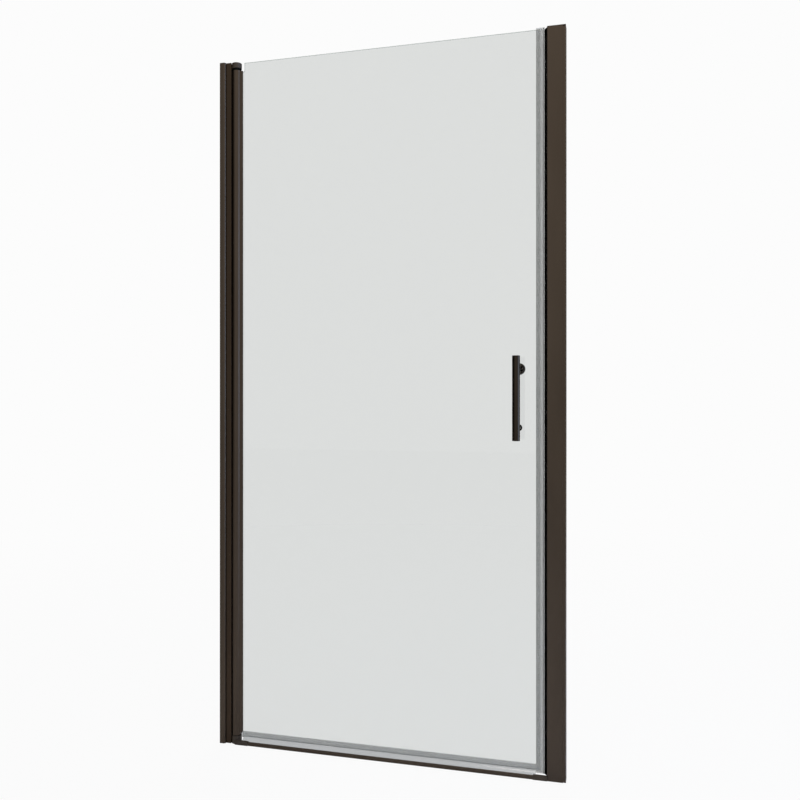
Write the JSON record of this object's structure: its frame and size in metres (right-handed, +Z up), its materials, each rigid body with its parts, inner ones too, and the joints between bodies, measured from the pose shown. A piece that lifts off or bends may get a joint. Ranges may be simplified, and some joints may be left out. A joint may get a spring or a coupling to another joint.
{
  "type": "pivot shower door",
  "caption": "Framed pivot shower door: clear glass leaf on a pivot post in a dark bronze frame, with wall jambs, low threshold, seals, outside pull bar and inside knob.",
  "frame": {"origin": "middle of the opening between the walls, on the curb under the threshold, in the middle plane of the glass", "axes": "+Z up; +X along the opening from the hinge wall to the strike wall; +Y into the shower, so -Y is the outside that the picture shows"},
  "size_m": [0.9144, 0.0935, 1.831],
  "materials": {
    "bronze_aluminium": "dark bronze anodised, satin",
    "bronze_cast": "dark bronze coat on die-cast zinc, satin",
    "bronze_plastic": "moulded plastic in the frame's dark bronze",
    "handle_bronze": "oil-rubbed dark bronze, semi-gloss",
    "handle_screw_bronze": "oil-rubbed dark bronze, semi-gloss",
    "steel": "stainless steel, turned",
    "black_nylon": "black nylon",
    "black_pvc": "soft black vinyl",
    "magnet": "ferrite magnet strip",
    "clear_pvc": "clear extruded vinyl",
    "glass": "tempered clear glass, polished edges",
    "black_washer": "soft black rubber washer"
  },
  "bodies": {
    "frame": {"hinge_wall_channel": "bronze_aluminium", "hinge_jamb": "bronze_aluminium", "hinge_cap": "bronze_plastic", "hinge_fixing_screws": "steel", "upper_pivot_bracket": "bronze_cast", "lower_pivot_block": "bronze_cast", "bracket_screws": "steel", "upper_pivot_pin": "steel", "lower_pivot_pin": "steel", "jamb_wiper_seal": "black_pvc", "strike_wall_channel": "bronze_aluminium", "strike_jamb": "bronze_aluminium", "strike_cap": "bronze_plastic", "strike_fixing_screws": "steel", "jamb_magnet_carrier": "black_pvc", "jamb_magnet_strip": "magnet", "threshold_bar": "bronze_aluminium", "threshold_end_cap": "bronze_plastic"},
    "door": {"door_stile": "bronze_aluminium", "glazing_gasket": "black_pvc", "glass_panel": "glass", "upper_pivot_bush": "black_nylon", "lower_pivot_bush": "black_nylon", "bottom_sweep": "clear_pvc", "strike_seal": "clear_pvc", "door_magnet_strip": "magnet", "handle_bar": "handle_bronze", "handle_posts": "handle_bronze", "outer_washers": "black_washer", "inner_washers": "black_washer", "glass_hole_sleeves": "black_washer", "upper_handle_stud": "steel", "lower_handle_screw": "handle_screw_bronze", "inside_knob": "handle_bronze"}
  },
  "joints": [
    {"name": "door_swing", "type": "hinge", "parent": "frame", "child": "door", "pos_m": [-0.4153, 0, 0.02105], "axis": [0, 0, -1], "range_deg": [0, 105]}
  ]
}
